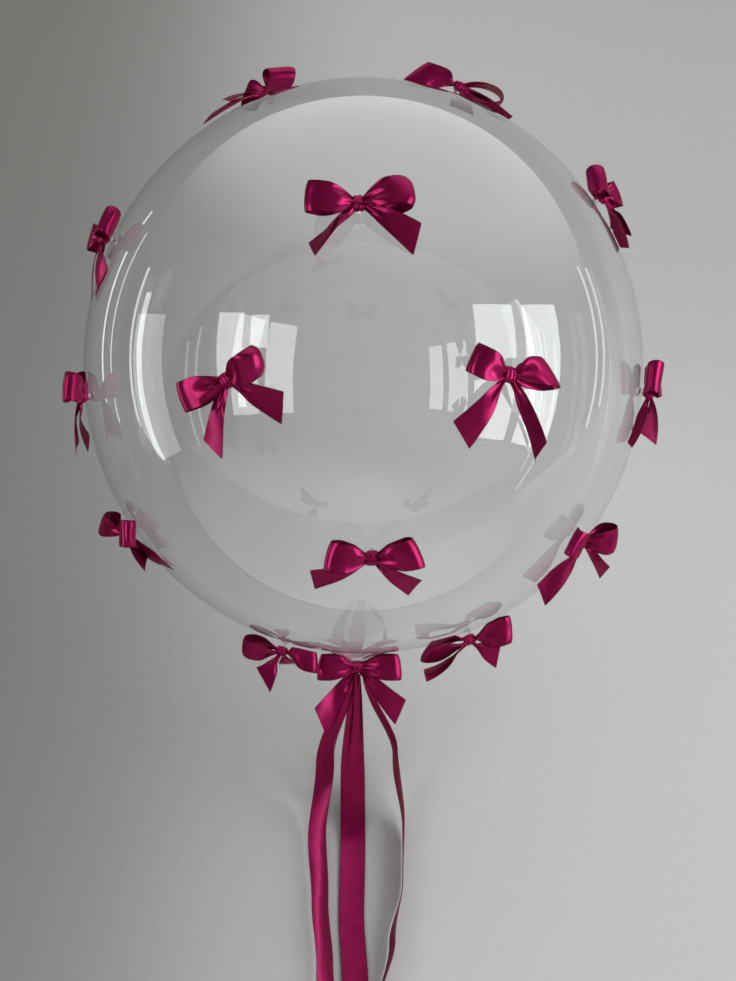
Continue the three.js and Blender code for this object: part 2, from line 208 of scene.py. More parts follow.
def rangeOf(tree, value, low, high, start=0.0, end=1.0, kind="LINEAR"):
    # low at start, high at end
    node = tree.nodes.new("ShaderNodeMapRange")
    node.interpolation_type = kind
    node.inputs["From Min"].default_value = start
    node.inputs["From Max"].default_value = end
    node.inputs["To Min"].default_value = low
    node.inputs["To Max"].default_value = high
    tree.links.new(value, node.inputs["Value"])
    return node.outputs["Result"]


def mixColours(tree, share, a, b):
    node = tree.nodes.new("ShaderNodeMix")
    node.data_type = "RGBA"
    tree.links.new(share, node.inputs["Factor"])
    for socket, value in ((node.inputs["A"], a), (node.inputs["B"], b)):
        if isinstance(value, tuple):
            socket.default_value = (*value, 1)
        else:
            tree.links.new(value, socket)
    return node.outputs["Result"]


def smudgeGroup():
    # wide soft smears: noise from where it starts to smear, 0, to where it is full, 1
    smear = {"starts": 0.5, "full": 0.78, "detail": 3, "distortion": 0.6}
    group, given, out = newGroup("handSmudges", [
        ("Vector", "NodeSocketVector", None),
        ("Scale", "NodeSocketFloat", 6.0),
    ], [("Mask", "NodeSocketFloat")])
    noise = group.nodes.new("ShaderNodeTexNoise")
    noise.inputs["Detail"].default_value = smear["detail"]
    noise.inputs["Distortion"].default_value = smear["distortion"]
    group.links.new(given.outputs["Vector"], noise.inputs["Vector"])
    group.links.new(given.outputs["Scale"], noise.inputs["Scale"])
    mask = rangeOf(group, noise.outputs["Fac"], 0, 1, smear["starts"], smear["full"])
    group.links.new(mask, out.inputs["Mask"])
    return group


def threadGroup():
    # satin floats: fine threads along the ribbon, broken up, and darker woven edges.
    # Height = thread ridges x uneven lengths; Edge = 1 at the selvedge; Shade = slow dye and gloss change
    weave = {
        "lengths": 3.0,  # uneven lengths to a ribbon's width, along it
        "edgeStarts": 0.462,  # share of the width out from the middle
        "edgeFull": 0.48,
        "shadeScale": 1.6,
        "detail": 2,
    }
    group, given, out = newGroup("satinThreads", [
        ("Vector", "NodeSocketVector", None),
        ("Threads", "NodeSocketFloat", 60.0),
    ], [("Height", "NodeSocketFloat"), ("Edge", "NodeSocketFloat"), ("Shade", "NodeSocketFloat")])
    split = group.nodes.new("ShaderNodeSeparateXYZ")
    group.links.new(given.outputs["Vector"], split.inputs[0])
    across, along = split.outputs["X"], split.outputs["Y"]
    turns = mathNode(group, "MULTIPLY", across, given.outputs["Threads"])
    ridge = mathNode(group, "SINE", mathNode(group, "MULTIPLY", turns, 2 * math.pi))
    stretched = group.nodes.new("ShaderNodeCombineXYZ")
    group.links.new(turns, stretched.inputs["X"])
    group.links.new(mathNode(group, "MULTIPLY", along, weave["lengths"]), stretched.inputs["Y"])
    floats = group.nodes.new("ShaderNodeTexNoise")
    floats.inputs["Scale"].default_value = 1.0
    floats.inputs["Detail"].default_value = weave["detail"]
    group.links.new(stretched.outputs[0], floats.inputs["Vector"])
    half = mathNode(group, "MULTIPLY_ADD", ridge, 0.5, 0.5)
    group.links.new(mathNode(group, "MULTIPLY", half, floats.outputs["Fac"]), out.inputs["Height"])
    offMiddle = mathNode(group, "ABSOLUTE", mathNode(group, "SUBTRACT", across, 0.5))
    edge = rangeOf(group, offMiddle, 0, 1, weave["edgeStarts"], weave["edgeFull"])
    group.links.new(edge, out.inputs["Edge"])
    slow = group.nodes.new("ShaderNodeTexNoise")
    slow.inputs["Scale"].default_value = weave["shadeScale"]
    slow.inputs["Detail"].default_value = weave["detail"]
    group.links.new(given.outputs["Vector"], slow.inputs["Vector"])
    group.links.new(slow.outputs["Fac"], out.inputs["Shade"])
    return group


smudges = smudgeGroup()
threads = threadGroup()


def newMaterial(name):
    material = bpy.data.materials.new(name)
    material.use_nodes = True
    tree = material.node_tree
    return material, tree, tree.nodes["Principled BSDF"]


# Satin
satin = {
    "deep": (0.17, 0.0022, 0.038),
    "bright": (0.30, 0.0055, 0.078),
    "selvedge": (0.10, 0.0015, 0.022),
    "roughLow": 0.19,
    "roughHigh": 0.30,
    "metal": 0.8,
    "stretch": 0.5,  # how much the gloss is drawn out across the threads
    "lustre": 0.09,  # the pale gloss over the dyed one
    "lustreRough": 0.14,
    "lustreIor": 1.6,
    "edgeTint": (0.72, 0.24, 0.38, 1),  # keeps the cloth dyed where it is seen from the side
    "sheen": 0.02,
    "sheenRough": 0.4,
    "sheenTint": (1.0, 0.45, 0.62, 1),
    "threads": 56.0,  # across the ribbon
    "threadDepth": 0.00003,
    "threadBump": 0.5,
}


def satinMaterial():
    material, tree, shader = newMaterial("raspberrySatin")
    place = tree.nodes.new("ShaderNodeUVMap")
    place.uv_map = "ribbonWay"
    weave = tree.nodes.new("ShaderNodeGroup")
    weave.node_tree = threads
    weave.inputs["Threads"].default_value = satin["threads"]
    tree.links.new(place.outputs["UV"], weave.inputs["Vector"])
    body = mixColours(tree, weave.outputs["Shade"], satin["deep"], satin["bright"])
    cloth = mixColours(tree, weave.outputs["Edge"], body, satin["selvedge"])
    tree.links.new(cloth, shader.inputs["Base Color"])
    rough = rangeOf(tree, weave.outputs["Shade"], satin["roughLow"], satin["roughHigh"])
    tree.links.new(rough, shader.inputs["Roughness"])
    bump = tree.nodes.new("ShaderNodeBump")
    bump.inputs["Strength"].default_value = satin["threadBump"]
    bump.inputs["Distance"].default_value = satin["threadDepth"]
    tree.links.new(weave.outputs["Height"], bump.inputs["Height"])
    tree.links.new(bump.outputs["Normal"], shader.inputs["Normal"])
    way = tree.nodes.new("ShaderNodeTangent")
    way.direction_type = "UV_MAP"
    way.uv_map = "ribbonWay"
    tree.links.new(way.outputs["Tangent"], shader.inputs["Tangent"])
    shader.inputs["Anisotropic"].default_value = satin["stretch"]
    shader.inputs["Metallic"].default_value = satin["metal"]
    shader.inputs["Specular Tint"].default_value = satin["edgeTint"]
    shader.inputs["Coat Weight"].default_value = satin["lustre"]
    shader.inputs["Coat Roughness"].default_value = satin["lustreRough"]
    shader.inputs["Coat IOR"].default_value = satin["lustreIor"]
    shader.inputs["Sheen Weight"].default_value = satin["sheen"]
    shader.inputs["Sheen Tint"].default_value = satin["sheenTint"]
    shader.inputs["Sheen Roughness"].default_value = satin["sheenRough"]
    return material


# Clear film and glue: plain clear glass, its gloss broken by smears
clear = {
    "film": {"colour": (0.947, 0.949, 0.952, 1), "ior": 1.47, "rough": (0.0, 0.035), "smears": 5.0},
    "glue": {"colour": (0.93, 0.94, 0.94, 1), "ior": 1.48, "rough": (0.12, 0.3), "smears": 300.0},
}


def clearMaterial(name, kind):
    material, tree, shader = newMaterial(name)
    place = tree.nodes.new("ShaderNodeTexCoord")
    smear = tree.nodes.new("ShaderNodeGroup")
    smear.node_tree = smudges
    smear.inputs["Scale"].default_value = kind["smears"]
    tree.links.new(place.outputs["Object"], smear.inputs["Vector"])
    tree.links.new(rangeOf(tree, smear.outputs["Mask"], *kind["rough"]), shader.inputs["Roughness"])
    shader.inputs["Base Color"].default_value = kind["colour"]
    shader.inputs["IOR"].default_value = kind["ior"]
    shader.inputs["Transmission Weight"].default_value = 1
    return material


satinCloth = satinMaterial()
clearFilm = clearMaterial("clearFilm", clear["film"])
clearGlue = clearMaterial("clearGlue", clear["glue"])
print("materials ready")

# The film, in millimetres
film = {
    "halfWidth": 275.0,
    "halfHeight": 282.0,
    "neckSide": -6.0,  # how far the neck is off to one side
    "shoulder": 34.0,  # radius where the film starts to draw in to the tie
    "neck": 7.0,
    "neckLean": 1.5,  # shoulder radii where the film starts to lean to the neck's side
    "drop": 9.0,  # from the ellipse's lowest point to the tie
    "funnelLean": 0.35,  # how strongly the funnel leaves along the ellipse
    "stem": 3.5,
    "stemLength": 10.0,
    "stemTaper": 3,  # the neck narrows to the stem over the first third of it
    "tipFrom": 0.95,  # share of the stem's length where its tip starts
    "tip": 0.4,  # share of the stem's radius there
    "wall": 0.5,
    "topGap": 0.012,  # radians, closed by the pole
    "bodyRings": 126,
    "funnelRings": 14,
    "stemRings": 10,
    "sides": 240,
    "pleats": 17,
    "pleatWander": 0.8,
    "unevenPleats": 11,
    "unevenShare": 0.6,
    "pleatDepth": 0.03,  # share of the radius at the neck
    "pleatFull": 6.0,  # above the tie, where the gathers start to fade
    "pleatFade": 8.0,
    "stemPleats": 0.3,  # share of the gathers that goes on down the stem
    "stemBlend": 8,  # over which they weaken, the tie at its middle
    "floorBlend": 1.0,
}


def makeFilm():
    # Radius over height: ellipse a cos(latitude), b sin(latitude) down to the shoulder, a cubic funnel to
    # the tie, then the stem. The gathers are two sines round it, fading as e^(-distance from the neck).
    a, b = film["halfWidth"], film["halfHeight"]
    low = math.acos(film["shoulder"] / a)
    latitude = np.linspace(math.pi / 2 - film["topGap"], -low, film["bodyRings"])
    radius, height = a * np.cos(latitude), b * np.sin(latitude)
    tie = -b - film["drop"]
    step = np.linspace(0, 1, film["funnelRings"] + 1)[1:]
    funnelTop = height[-1]
    slope = -a * math.sin(low) / (b * math.cos(low))
    run = funnelTop - tie
    # cubic from the shoulder to the tie: leaves along the ellipse and arrives upright
    h0, h1 = 1 - 3 * step**2 + 2 * step**3, 3 * step**2 - 2 * step**3
    funnel = h0 * film["shoulder"] + h1 * film["neck"]
    funnel = funnel + film["funnelLean"] * slope * run * step * (1 - step)**2
    stemRows = np.linspace(0, 1, film["stemRings"])
    stem = film["stem"] + (film["neck"] - film["stem"]) * (1 - ease(stemRows * film["stemTaper"]))
    stem = stem * np.where(stemRows > film["tipFrom"], film["tip"], 1)
    radius = np.concatenate([radius, funnel, stem])
    height = np.concatenate([height, funnelTop - run * step, tie - film["stemLength"] * stemRows])
    angle = np.linspace(0, 2 * math.pi, film["sides"], endpoint=False)[None, :]
    toNeck = height[:, None] - tie
    near = np.exp(-np.maximum(toNeck - film["pleatFull"], 0) / film["pleatFade"])
    # weaker again on the stem
    near = near * np.clip((toNeck + film["stemBlend"] / 2) / film["stemBlend"], film["stemPleats"], 1)
    ripple = np.sin(film["pleats"] * angle + film["pleatWander"] * np.sin(3 * angle + 1))
    ripple = ripple + film["unevenShare"] * np.sin(film["unevenPleats"] * angle + 2)
    r = radius[:, None] * (1 + film["pleatDepth"] * near * ripple)
    leanFrom = film["shoulder"] * film["neckLean"]
    side = film["neckSide"] * ease((leanFrom - radius) / film["shoulder"])[:, None]
    side = side * (height < 0)[:, None]
    level = np.broadcast_to(height[:, None], r.shape)
    world = toWorld(np.stack([r * np.sin(angle) + side, level, r * np.cos(angle)], -1))
    # lies flat where it meets the floor: (z + sqrt(z^2 + blend^2)) / 2
    soft = film["floorBlend"] * 0.001
    world[..., 2] = (world[..., 2] + np.sqrt(world[..., 2]**2 + soft**2)) / 2
    uv = np.stack([np.broadcast_to(angle / (2 * math.pi), r.shape), level / (2 * b)], -1)
    piece = makeMesh("clear_balloon_film", [closedTube(world, uv)], clearFilm)
    wall = piece.modifiers.new("wall", "SOLIDIFY")
    wall.thickness = film["wall"] * 0.001
    wall.offset = -1
    piece.visible_shadow = False  # light passes the clear film
    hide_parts("balloon_film")


makeFilm()
print("film ready")

# The ribbon that every bow and tail is made of, in millimetres
ribbon = {
    "width": 25.4,
    "thickness": 0.3,
    "pinch": 8.0,  # its width where the knot grips it
    "knot": (11.0, 12.5, 9.0),  # along the bow, up its width, out of the film
    "knotSwell": 1.12,
    "knotCloth": 1.5,  # length in the knot, in ribbon widths
    "dotRadius": 3.1,
    "dotHeight": 4.4,
    "tallDotHeight": 8.5,
    "gap": 0.3,  # between the film, a dot and its knot
    "filmClearance": 0.8,
    "layerStep": 0.4,  # each strip of a bow lies this much further off the film
    "bodyHalf": 0.5,  # half the thickness of the solid strips
    "rootInset": 3.0,  # how far from the knot's middle a loop starts
    "insideKnot": 0.4,  # share of the knot's length where a strip starts to open
    "strandGap": 1.2,  # how far each strand lies from the loop's middle at the knot
    "loopOpenAt": 0.6,  # share of a strip's length where it has opened to its full width
    "loopBend": 1.8,  # the higher, the sooner it opens
    "tailOpenAt": 0.9,
    "tailBend": 1.1,
    "rounding": 1.5,  # how far a fold's corners draw back
    "tailBulge": 4.0,
    "loopRows": 89,
    "tailRows": 49,
    "columns": 21,
    "folds": 1.7,
    "unevenFolds": 0.4,  # how many more or fewer a strip may have
    "foldWander": 0.7,
    "foldHeight": 2.1,
    "foldPower": 1.6,  # the higher, the sooner the folds smooth out as the strip opens
    "loopPower": 0.6,  # the lower, the rounder a loop's sides
    "foldMiddle": 0.3,  # how far a loop's fold bows out at its middle
    "loopWave": 0.5,
    "loopWaves": (2.2, 5),  # radians from its middle to an edge, and round the loop
    "tailWave": 1.3,
    "tailWaves": 4.5,  # radians over its length
    "phases": 6.28,  # a wave starts anywhere between 0 and this
    "curl": (0.4, 1.0),  # how far a tail's edges may roll
    "curlLevel": 0.4,
    "turnedBy": 0.6,  # share of its length where a strip's width has turned from the knot's way to its own
    "leastSkew": 0.7,
    "foldFrom": 0.35,  # share of a loop's length from where its fold bows and waves
    "pressedBy": 0.55,  # share of a tail's length where its gathers have been pressed flat
    "curledBy": 0.7,
}

# Random seeds: the bows' own ones, the tails', and what the parts of a bow add to its seed
seeds = {"firstBow": 7, "perBow": 100, "neckBow": 4007, "tails": 5000, "gathers": 5, "loops": 20, "knot": 50}


def offFilm(points, layer):
    # points nearer the film than the strip's own layer are pushed straight out from its centre
    a, b = film["halfWidth"], film["halfHeight"]
    size = np.linalg.norm(points / np.array([a, b, a]), axis=-1, keepdims=True)
    least = 1 + (ribbon["filmClearance"] + layer * ribbon["layerStep"] + ribbon["bodyHalf"]) / a
    return points * np.maximum(least / size, 1)


def blended(start, end, share):
    # turns one direction into another, on the same side
    start = -start if start @ end < 0 else start
    return unit(start[None] + (end - start)[None] * share[:, None])


def opened(x, openAt, bend):
    # width from the pinch at the knot's side to the full ribbon: 1 - (1 - x / openAt)^bend
    share = np.clip((x - ribbon["knot"][0] * ribbon["insideKnot"]) / openAt, 0, 1)
    return ribbon["pinch"] + (ribbon["width"] - ribbon["pinch"]) * (1 - (1 - share)**bend)


def acrossSteps():
    # cosine spacing from edge to edge, so that the thin rim keeps its own shading
    return -np.cos(np.linspace(0, math.pi, ribbon["columns"]))


def pleated(s, wide, seed):
    # gathers of a strip narrower than its cloth: height * spare^power * sin(pi * folds * s), with the spare
    # width as a share of the whole and the waves a little uneven
    spare = np.sqrt(np.maximum(ribbon["width"]**2 - wide**2, 0)) / ribbon["width"]
    rng = np.random.default_rng(seed)
    phase = rng.uniform(0, ribbon["phases"])
    folds = ribbon["folds"] + rng.uniform(-ribbon["unevenFolds"], ribbon["unevenFolds"])
    wander = ribbon["foldWander"] * np.sin(2 * s[None] + phase)
    wave = np.sin(math.pi * folds * s[None] + phase + wander)
    return ribbon["foldHeight"] * spare[:, None]**ribbon["foldPower"] * wave


def loopGrid(bow, loop, layer, seed):
    # x along the reach, opening y = gap * sin(2 pi t) * sin(pi t)^power, width opening from the knot
    rng = np.random.default_rng(seed)
    reach = np.array(loop["reach"], float)
    length = np.linalg.norm(reach)
    axis, foldAcross = reach / length, unit(np.array(loop["across"], float))
    out = unit(np.cross(axis, foldAcross))
    t = np.linspace(0, 1, ribbon["loopRows"])
    x = ribbon["rootInset"] + (length - ribbon["rootInset"]) * (1 - np.cos(2 * math.pi * t)) / 2
    y = ribbon["strandGap"] * np.cos(math.pi * t)
    y = y + loop["gap"] * np.sin(2 * math.pi * t) * np.sin(math.pi * t)**ribbon["loopPower"]
    side = blended(bow["upright"], foldAcross, ease(x / (ribbon["turnedBy"] * length)))
    skew = np.linalg.norm(np.cross(side, axis), axis=-1)
    wide = opened(x, loop.get("openAt", ribbon["loopOpenAt"]) * length, ribbon["loopBend"])
    half = wide / 2 / np.maximum(skew, ribbon["leastSkew"])
    s = acrossSteps()
    far = ease((x / length - ribbon["foldFrom"]) / (1 - ribbon["foldFrom"]))[:, None]
    # the fold bows out a little at its middle, and the open cloth waves softly
    bulge = loop.get("rounding", ribbon["rounding"]) * far * (ribbon["foldMiddle"] - np.abs(s[None])**3)
    outWaves, roundWaves = ribbon["loopWaves"]
    wave = np.sin(outWaves * s[None] + roundWaves * t[:, None] + rng.uniform(0, ribbon["phases"]))
    wave = ribbon["loopWave"] * far * wave
    rise = y[:, None] + pleated(s, wide, seed) + wave
    grid = bow["knot"] + axis * (x[:, None] + bulge)[..., None] + out * rise[..., None]
    grid = grid + side[:, None] * (half[:, None] * s[None])[..., None]
    return offFilm(grid, layer)


def tailGrid(bow, tail, layer, seed):
    # knot + reach * q, one edge longer by the cut, lifted by bulge * sin(pi q), width opening from the knot
    rng = np.random.default_rng(seed)
    reach = np.array(tail["reach"], float)
    length = np.linalg.norm(reach)
    q, s = np.linspace(0, 1, ribbon["tailRows"]), acrossSteps()
    side = blended(bow["upright"], unit(np.array(tail["across"], float)), ease(q / ribbon["turnedBy"]))
    wide = opened(q * length, ribbon["tailOpenAt"] * length, ribbon["tailBend"])
    share = q[:, None] * (1 + s[None] * tail["cut"] / 2 / length)
    face = unit(np.cross(side, reach))[:, None]
    gathers = pleated(s, wide, seed + seeds["gathers"]) * (1 - ease(q / ribbon["pressedBy"]))[:, None]
    phase = rng.uniform(0, ribbon["phases"])
    wave = ribbon["tailWave"] * np.sin(ribbon["tailWaves"] * q + phase)[:, None] * q[:, None]
    curl = rng.uniform(*ribbon["curl"]) * rng.choice([-1, 1]) * (s[None]**2 - ribbon["curlLevel"])
    curl = curl * ease(q / ribbon["curledBy"])[:, None]
    grid = bow["knot"] + reach * share[..., None]
    grid = grid + bow["outward"] * (ribbon["tailBulge"] * np.sin(math.pi * q))[:, None, None]
    grid = grid + side[:, None] * (s[None] * wide[:, None] / 2)[..., None]
    grid = grid + face * (gathers + wave + curl)[..., None]
    return offFilm(grid, layer)


def lengthsUv(grid, start=0.0):
    # across from 0 to 1, along in ribbon widths, measured down the middle
    middle = grid[:, grid.shape[1] // 2]
    steps = np.linalg.norm(np.diff(middle, axis=0), axis=-1)
    along = np.concatenate([[0], np.cumsum(steps)]) / ribbon["width"] + start
    across = (acrossSteps() + 1) / 2
    return np.stack(np.broadcast_arrays(across[None], along[:, None]), -1), along[-1]


knotShape = {
    "rings": 49,
    "sides": 64,
    "end": 0.1,  # radians left to the pole
    "closing": 2.4,  # power of the barrel that closes at both ends
    "box": 2.6,  # power of its rounded square outline
    "turns": 3,
    "ridges": 0.55,  # the lower, the sharper the grooves
    "core": 0.86,
    "ridgeHeight": 0.15,
    "wander": 0.09,
    "fineWander": 0.04,
    "phases": 6,  # as the ribbon's own
    "lean": 0.6,  # how far its ends may slant, in millimetres
    "clothFrom": 0.1,  # the share of the ribbon's width that shows on it
    "clothSpan": 0.8,
    "clothTurn": 3,  # radians round it to a ribbon's width
}


def knotGrid(bow, seed):
    # turns of ribbon pulled tight round the bow's middle: radius = barrel (1 - w^4)^(1 / closing) * rounded
    # square * (core + height * |cos(turns * pi / 2 * w)|^ridges), the grooves wandering a little
    rng = np.random.default_rng(seed)
    sizes = np.array(ribbon["knot"]) / 2 * ribbon["knotSwell"]
    box = knotShape["box"]
    w = -np.cos(np.linspace(knotShape["end"], math.pi - knotShape["end"], knotShape["rings"]))[:, None]
    turn = np.linspace(0, 2 * math.pi, knotShape["sides"], endpoint=False)[None]
    barrel = (1 - np.abs(w)**4)**(1 / knotShape["closing"])
    wander = w + knotShape["wander"] * np.sin(turn + rng.uniform(0, knotShape["phases"]))
    wander = wander + knotShape["fineWander"] * np.sin(3 * turn + rng.uniform(0, knotShape["phases"]))
    ridges = np.abs(np.cos(knotShape["turns"] / 2 * math.pi * wander))**knotShape["ridges"]
    boxy = 1 / (np.abs(np.cos(turn))**box + np.abs(np.sin(turn))**box)**(1 / box)
    r = barrel * boxy * (knotShape["core"] + knotShape["ridgeHeight"] * ridges)
    along = sizes[0] * w + rng.uniform(-knotShape["lean"], knotShape["lean"]) * np.sin(turn)
    grid = bow["knot"] + bow["along"] * along[..., None]
    grid = grid + bow["upright"] * (sizes[1] * r * np.cos(turn))[..., None]
    grid = grid + bow["outward"] * (sizes[2] * r * np.sin(turn))[..., None]
    across = (w + 1) / 2 * knotShape["clothSpan"] + knotShape["clothFrom"]
    uv = np.stack(np.broadcast_arrays(across, turn / knotShape["clothTurn"]), -1)
    return grid, uv


def knotFrame(knot, outwardWay, loops):
    along = np.subtract(loops[1]["reach"], loops[0]["reach"]).astype(float)
    along = unit(along - outwardWay * (along @ outwardWay))
    return {"knot": knot, "outward": outwardWay, "along": along, "upright": np.cross(outwardWay, along)}


def makeBow(name, bow, loops, tails, seed, node):
    parts, total = [], 0.0
    strips = [tailGrid(bow, tail, i, seed + i) for i, tail in enumerate(tails)]
    firstLoop = seed + seeds["loops"]
    strips += [loopGrid(bow, loop, len(tails) + i, firstLoop + i) for i, loop in enumerate(loops)]
    for grid in strips:
        uv, end = lengthsUv(grid, total)
        parts.append(thickSheet(toWorld(grid), uv, ribbon["thickness"] * 0.001))
        total = end
    grid, uv = knotGrid(bow, seed + seeds["knot"])
    parts.append(closedTube(toWorld(grid), uv))
    piece = makeMesh(name, parts, satinCloth)
    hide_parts(node)


# Where each bow sits, in degrees up and round from the front, with its two loops and two tails. A reach
# goes from the knot to the middle of the fold or cut end; across is the way of the ribbon's width there.
bows = {
    "top_front": {"place": (23, -0.7), "loops": [
        {"reach": (-43, 4, 10.5), "across": (0.1, 1, 0), "gap": 10},
        {"reach": (44, 8, 12), "across": (-0.2, 1, -0.3), "gap": 11, "rounding": 4},
    ], "tails": [
        {"reach": (-38.5, -38.5, 6), "across": (0.36, -0.3, 0.88), "cut": 6},
        {"reach": (48, -30, 4), "across": (0.53, 0.85, 0.2), "cut": -8},
    ]},
    "left_front": {"place": (-6, -23), "loops": [
        {"reach": (-40, -14, -12), "across": (-0.29, 0.96, 0), "gap": 7},
        {"reach": (27, 15, 24), "across": (-0.3, 0.93, 0.3), "gap": 14, "openAt": 0.45, "rounding": 8},
    ], "tails": [
        {"reach": (-15, -56, -20), "across": (0.77, -0.2, 0.6), "cut": 12},
        {"reach": (46, -23, 6), "across": (0.43, 0.86, 0.3), "cut": -10},
    ]},
    "right_front": {"place": (-5, 25), "loops": [
        {"reach": (-31, 13, 16), "across": (0.42, 0.91, 0.1), "gap": 11.5},
        {"reach": (37, 2, -12), "across": (-0.54, 0.84, 0), "gap": 9.5},
    ], "tails": [
        {"reach": (-39, -50, 2), "across": (0.79, -0.62, -0.3), "cut": 9},
        {"reach": (30, -63, -34), "across": (0.52, 0.25, 0.82), "cut": -12},
    ]},
    "bottom_front": {"place": (-37.5, 2), "loops": [
        {"reach": (-38, 2, 12), "across": (0.25, 0.95, 0.1), "gap": 10},
        {"reach": (40, 5, 10), "across": (-0.41, 0.91, 0.1), "gap": 10},
    ], "tails": [
        {"reach": (-51, -20, -18), "across": (0.24, -0.63, -0.74), "cut": 3},
        {"reach": (37, -27, -22), "across": (0.41, 0.58, 0.7), "cut": 1},
    ]},
    "top_left": {"place": (70.5, -86), "loops": [
        {"reach": (-24, 3, -18), "across": (0.3, 0.95, 0), "gap": 8, "openAt": 0.5},
        {"reach": (16, 15, 28), "across": (0.95, 0.1, -0.25), "gap": 10},
    ], "tails": [
        {"reach": (-43, -4, -14), "across": (0.06, -0.13, 0.99), "cut": 8},
        {"reach": (-59, -27, 14), "across": (0.13, -0.52, 0.84), "cut": 12},
    ]},
    "top_right": {"place": (70.5, 80), "tall": True, "loops": [
        {"reach": (-45, 13, 8), "across": (0.8, 0.57, 0.1), "gap": 8},
        {"reach": (43, -13, -2), "across": (0, -0.05, 1), "gap": 9},
    ], "tails": [
        {"reach": (45, -37, 12), "across": (0.22, 0.27, 0.94), "cut": 7},
        {"reach": (6, -8, -52), "across": (0.95, -0.3, 0.1), "cut": 8},
    ]},
    "upper_right": {"place": (34, 77.5), "loops": [
        {"reach": (-12, 12, 31), "across": (-0.15, 0.97, -0.2), "gap": 10},
        {"reach": (17, 7, -24), "across": (-0.4, 0.85, 0.3), "gap": 8},
    ], "tails": [
        {"reach": (17, -51, 8), "across": (0.28, 0.1, 0.95), "cut": 8},
        {"reach": (18, -34, -6), "across": (0.35, 0.19, 0.92), "cut": 18},
    ]},
    "upper_left": {"place": (23, -66), "loops": [
        {"reach": (-14, 3, -24), "across": (0.25, 0.95, 0.1), "gap": 8},
        {"reach": (9, 12, 29), "across": (0.36, 0.91, -0.2), "gap": 8},
    ], "tails": [
        {"reach": (-15, -53, -10), "across": (0.3, 0.1, 0.95), "cut": 14},
        {"reach": (1, -46, 14), "across": (0.58, 0, 0.81), "cut": -18},
    ]},
    "left": {"place": (-6.5, -66), "loops": [
        {"reach": (-3, 12, -28), "across": (-0.3, 0.9, 0.2), "gap": 7},
        {"reach": (-8, 7, 30), "across": (0.05, 1, 0), "gap": 7.5},
    ], "tails": [
        {"reach": (-4, -50, 8), "across": (0.15, 0, 0.98), "cut": 14},
        {"reach": (4, -44, -6), "across": (0.3, 0.05, 0.95), "cut": -14},
    ]},
    "right": {"place": (-5.5, 71), "loops": [
        {"reach": (0, 13, 29), "across": (0.12, 0.98, 0.1), "gap": 8},
        {"reach": (10, 15, -24), "across": (-0.05, 0.98, 0.1), "gap": 8},
    ], "tails": [
        {"reach": (-24, -47, 12), "across": (0.36, -0.2, 0.91), "cut": 8},
        {"reach": (-2, -43, -8), "across": (0.62, 0.05, 0.78), "cut": 16},
    ]},
    "lower_left": {"place": (-33, -70), "loops": [
        {"reach": (-25, 9, -16), "across": (0.35, 0.6, 0.7), "gap": 7},
        {"reach": (9, -2, 32), "across": (0.03, 1, 0), "gap": 8},
    ], "tails": [
        {"reach": (22, -30, 10), "across": (-0.2, -0.1, 0.97), "cut": 12},
        {"reach": (42, -31, 2), "across": (0.34, 0.46, 0.82), "cut": 16},
    ]},
    "lower_right": {"place": (-35, 60), "loops": [
        {"reach": (-12, -1, 30), "across": (0.49, 0.87, 0), "gap": 7},
        {"reach": (32, 3, -6), "across": (0.05, 0.9, 0.4), "gap": 9},
    ], "tails": [
        {"reach": (-37, -49, -20), "across": (0.6, -0.45, 0.6), "cut": 14},
        {"reach": (22, -31, -16), "across": (0.37, 0.26, 0.89), "cut": -8},
    ]},
    "bottom_left": {"place": (-73, -75.5), "loops": [
        {"reach": (-38, 6, 6), "across": (0.12, 0.72, 0.68), "gap": 6},
        {"reach": (35, -8, 6), "across": (-0.09, 0.99, 0), "gap": 7},
    ], "tails": [
        {"reach": (-18, -28, 4), "across": (0.83, -0.55, 0), "cut": 13},
        {"reach": (10, -18, -40), "across": (0.9, 0.2, 0.3), "cut": 8},
    ]},
    "bottom_right": {"place": (-64, 54), "loops": [
        {"reach": (-43, -12, 4), "across": (0.3, 0.66, 0.68), "gap": 6.5},
        {"reach": (39, 11, 8), "across": (-0.09, 0.99, 0.1), "gap": 7},
    ], "tails": [
        {"reach": (-43, -33, 4), "across": (0.18, -0.24, 0.95), "cut": 4},
        {"reach": (28, -15, -6), "across": (0.43, 0.9, 0.1), "cut": -7},
    ]},
}


def filmPlace(latitude, longitude):
    la, lo = math.radians(latitude), math.radians(longitude)
    a, b = film["halfWidth"], film["halfHeight"]
    point = np.array([a * math.cos(la) * math.sin(lo), b * math.sin(la), a * math.cos(la) * math.cos(lo)])
    return point, unit(point / np.array([a * a, b * b, a * a]))


drop = {
    # shares of its height, and the shares of its radius there: foot, waist and round top
    "levels": [0, 0.06, 0.16, 0.3, 0.45, 0.6, 0.74, 0.86, 0.94, 1.0],
    "widths": [0.9, 1.0, 0.97, 0.86, 0.78, 0.76, 0.76, 0.7, 0.55, 0.3],
    "sides": 32,
    "offFilm": 0.1,
    "wobbles": (0.05, 0.03),  # three and five round it
    "aside": (0.3, 0.1, 0.9),  # a direction that no dot stands along
}


